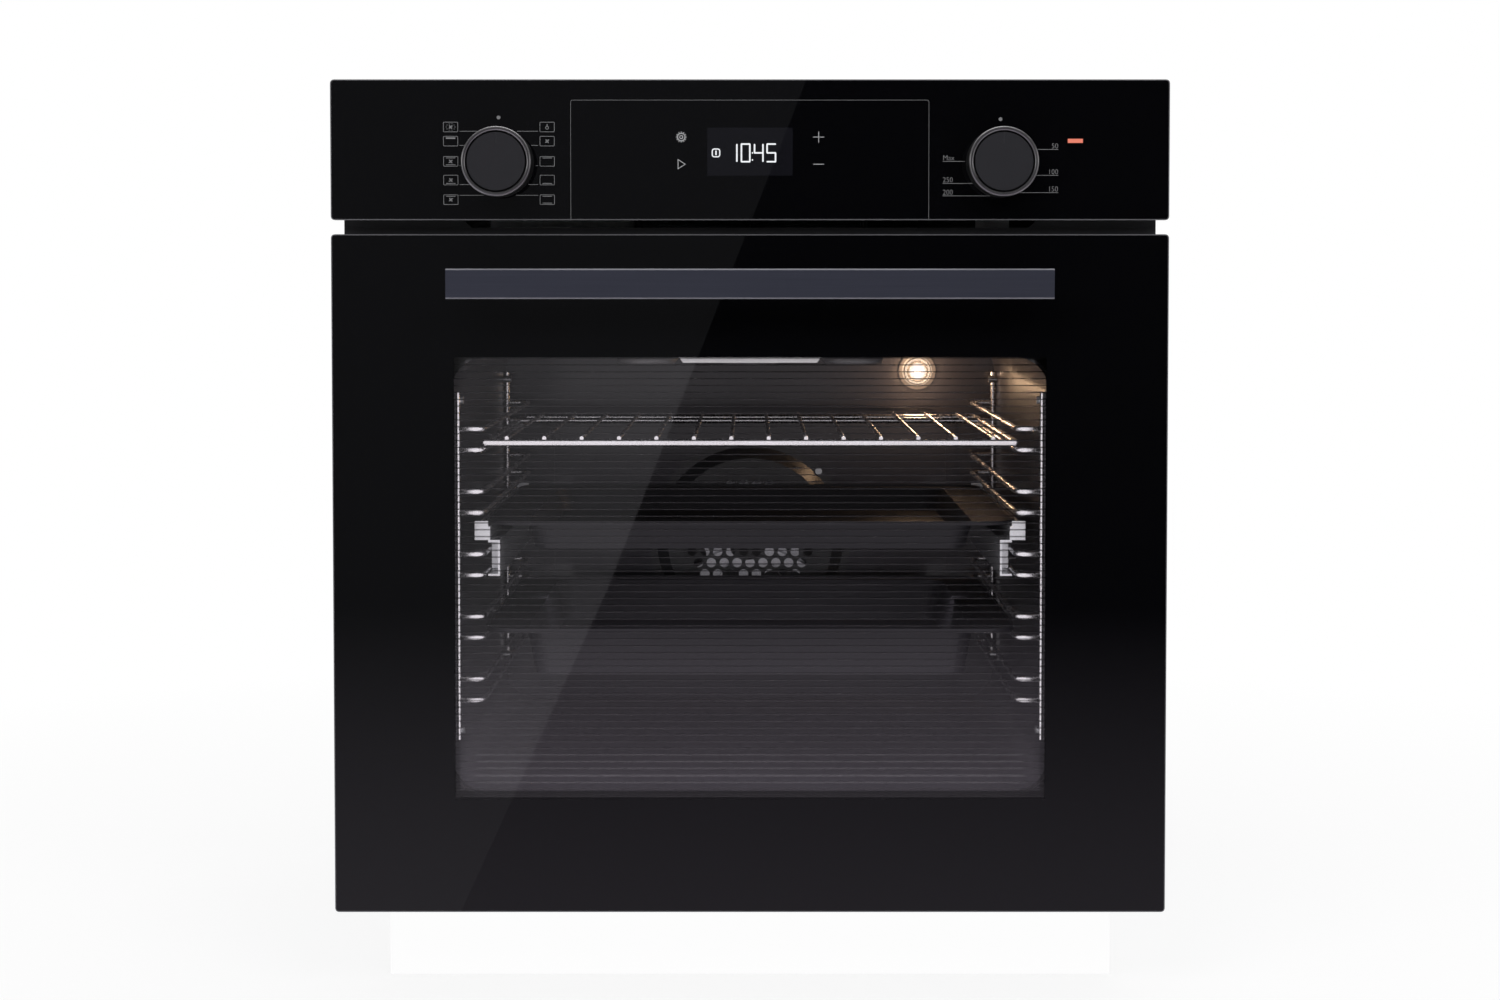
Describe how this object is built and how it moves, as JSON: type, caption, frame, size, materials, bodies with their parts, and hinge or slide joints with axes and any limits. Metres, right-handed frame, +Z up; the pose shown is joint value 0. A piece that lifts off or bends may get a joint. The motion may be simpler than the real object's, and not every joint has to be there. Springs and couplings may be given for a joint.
{
  "type": "wall oven",
  "caption": "Built-in wall oven with a drop-down glass door, bar handle, control panel with two knobs, fan-assisted cavity, side racks, wire shelf, pull-out tray and deep pan.",
  "frame": {"origin": "centre of the whole outline, at the level of the base plate's underside", "axes": "+X to the right seen from the front, +Y from the front to the back, +Z up"},
  "size_m": [0.595, 0.597, 0.599],
  "materials": {
    "galvanized": "satin",
    "black_metal": "satin",
    "enamel": "gloss",
    "dark_steel": "satin",
    "insulation": "matte",
    "seal": "matte",
    "heater": "matte",
    "bright_steel": "satin",
    "chrome_wire": "gloss",
    "black_glass": "gloss",
    "clear_glass": "gloss",
    "lamp_glass": "gloss",
    "black_plastic": "satin",
    "grey_plastic": "matte",
    "pilot": "gloss",
    "knob_black": "satin",
    "knob_face": "satin",
    "handle": "brushed",
    "tray_enamel": "gloss",
    "motor": "satin"
  },
  "bodies": {
    "oven_body": {"base_plate": "galvanized", "side_panel_left": "galvanized", "side_panel_right": "galvanized", "top_cover": "galvanized", "rear_panel": "galvanized", "front_frame": "black_metal", "cavity_tub": "enamel", "cavity_roof": "enamel", "cavity_back": "enamel", "insulation": "insulation", "mouth_seal": "seal", "fan_cover": "dark_steel", "ring_heater": "heater", "grill_heater": "heater", "roof_bracket": "bright_steel", "floor_heater": "heater", "lamp_lens": "lamp_glass", "lamp_socket": "bright_steel", "lamp_bulb": "lamp_glass", "rack_uprights": "chrome_wire", "rack_wires": "chrome_wire", "rails": "bright_steel", "vent_trim": "black_metal", "air_duct": "galvanized", "blower_housing": "galvanized", "blower_motor": "motor", "fan_motor": "motor", "control_glass": "black_glass", "panel_housing": "black_plastic", "display_module": "black_plastic", "selector_switch": "grey_plastic", "thermostat": "grey_plastic", "pilot_lens": "pilot", "hinge_arms": "bright_steel", "hinge_pins": "bright_steel", "hinge_receivers": "galvanized", "terminal_box": "black_plastic", "fasteners": "bright_steel"},
    "door": {"door_glass": "black_glass", "door_mid_glass": "clear_glass", "door_inner_glass": "clear_glass", "door_column_left": "black_metal", "door_column_right": "black_metal", "door_top_rail": "black_metal", "door_bottom_rail": "black_metal", "handle_bar": "handle", "handle_posts": "black_metal", "hinge_cases": "galvanized"},
    "function_control": {"selector_knob": "knob_black", "selector_cap": "knob_face", "selector_shaft": "bright_steel"},
    "temperature_control": {"thermostat_knob": "knob_black", "thermostat_cap": "knob_face", "thermostat_shaft": "bright_steel"},
    "fan_rotor": {"convection_fan": "galvanized"},
    "blower_rotor": {"blower_wheel": "galvanized"},
    "shelf": {"wire_shelf": "chrome_wire"},
    "pullout": {"runners": "bright_steel", "baking_tray": "tray_enamel"},
    "pan": {"deep_pan": "tray_enamel"}
  },
  "joints": [
    {"name": "door_hinge", "type": "hinge", "parent": "oven_body", "child": "door", "pos_m": [0, -0.2315, 0.024], "axis": [1, 0, 0], "range_deg": [0, 90], "stiffness_Nm_per_rad": 10, "springref_deg": -8.59},
    {"name": "function_turn", "type": "hinge", "parent": "oven_body", "child": "function_control", "pos_m": [-0.1775, -0.2535, 0.54], "axis": [0, 1, 0], "continuous": true},
    {"name": "temperature_turn", "type": "hinge", "parent": "oven_body", "child": "temperature_control", "pos_m": [0.1775, -0.2535, 0.54], "axis": [0, 1, 0], "range_deg": [0, 280]},
    {"name": "fan_spin", "type": "hinge", "parent": "oven_body", "child": "fan_rotor", "pos_m": [0, 0.22, 0.2242], "axis": [0, 1, 0], "continuous": true},
    {"name": "blower_spin", "type": "hinge", "parent": "oven_body", "child": "blower_rotor", "pos_m": [0, 0.04, 0.522], "axis": [1, 0, 0], "continuous": true},
    {"name": "shelf_slide", "type": "slide", "parent": "oven_body", "child": "shelf", "axis": [0, -1, 0], "range_m": [0, 0.2366]},
    {"name": "pullout_slide", "type": "slide", "parent": "oven_body", "child": "pullout", "axis": [0, -1, 0], "range_m": [0, 0.268]},
    {"name": "pan_slide", "type": "slide", "parent": "oven_body", "child": "pan", "axis": [0, -1, 0], "range_m": [0, 0.1738]}
  ],
  "couplings": [
    {"joint": "shelf_slide", "follows": "door_hinge", "m_per_rad": 0.15},
    {"joint": "pullout_slide", "follows": "door_hinge", "m_per_rad": 0.17},
    {"joint": "pan_slide", "follows": "door_hinge", "m_per_rad": 0.11}
  ]
}
